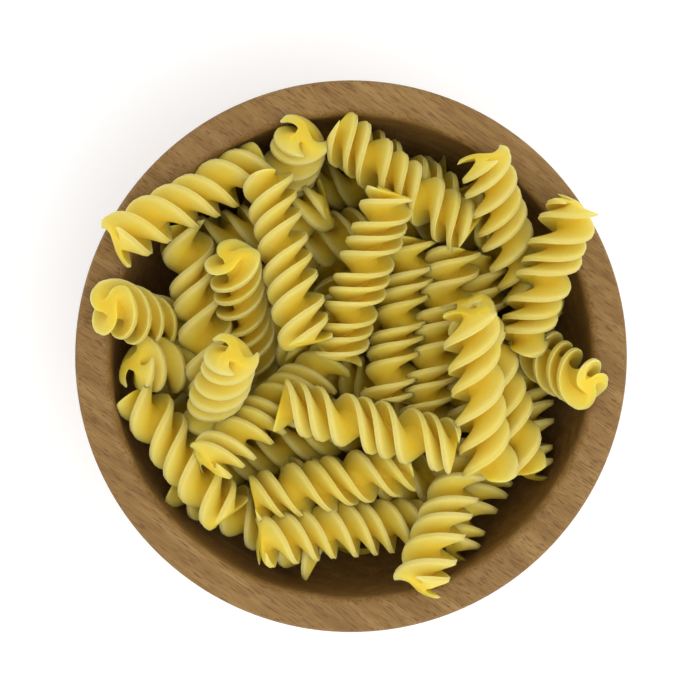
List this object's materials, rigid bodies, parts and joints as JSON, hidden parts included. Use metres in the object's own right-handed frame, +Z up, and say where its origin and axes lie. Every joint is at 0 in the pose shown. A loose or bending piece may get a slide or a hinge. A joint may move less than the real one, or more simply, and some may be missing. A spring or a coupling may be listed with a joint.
{
  "type": "bowl of fusilli pasta",
  "caption": "Small round turned wooden bowl with a rounded rim and a flat foot, heaped above its rim with dry three-bladed spiral pasta.",
  "frame": {"origin": "middle of the bowl's flat foot, on the surface it stands on", "axes": "+Z up along the bowl's axis; +X to the right and +Y away when the bowl is seen from above with its grain running from the upper left to the lower right"},
  "size_m": [0.12, 0.12, 0.0778],
  "materials": {
    "wood": "bare light brown wood with short dark pores, satin",
    "pasta": "dry pasta, pale straw yellow, matt"
  },
  "bodies": {
    "root": {"bowl": "wood", "pasta_heap": "pasta"}
  },
  "joints": []
}
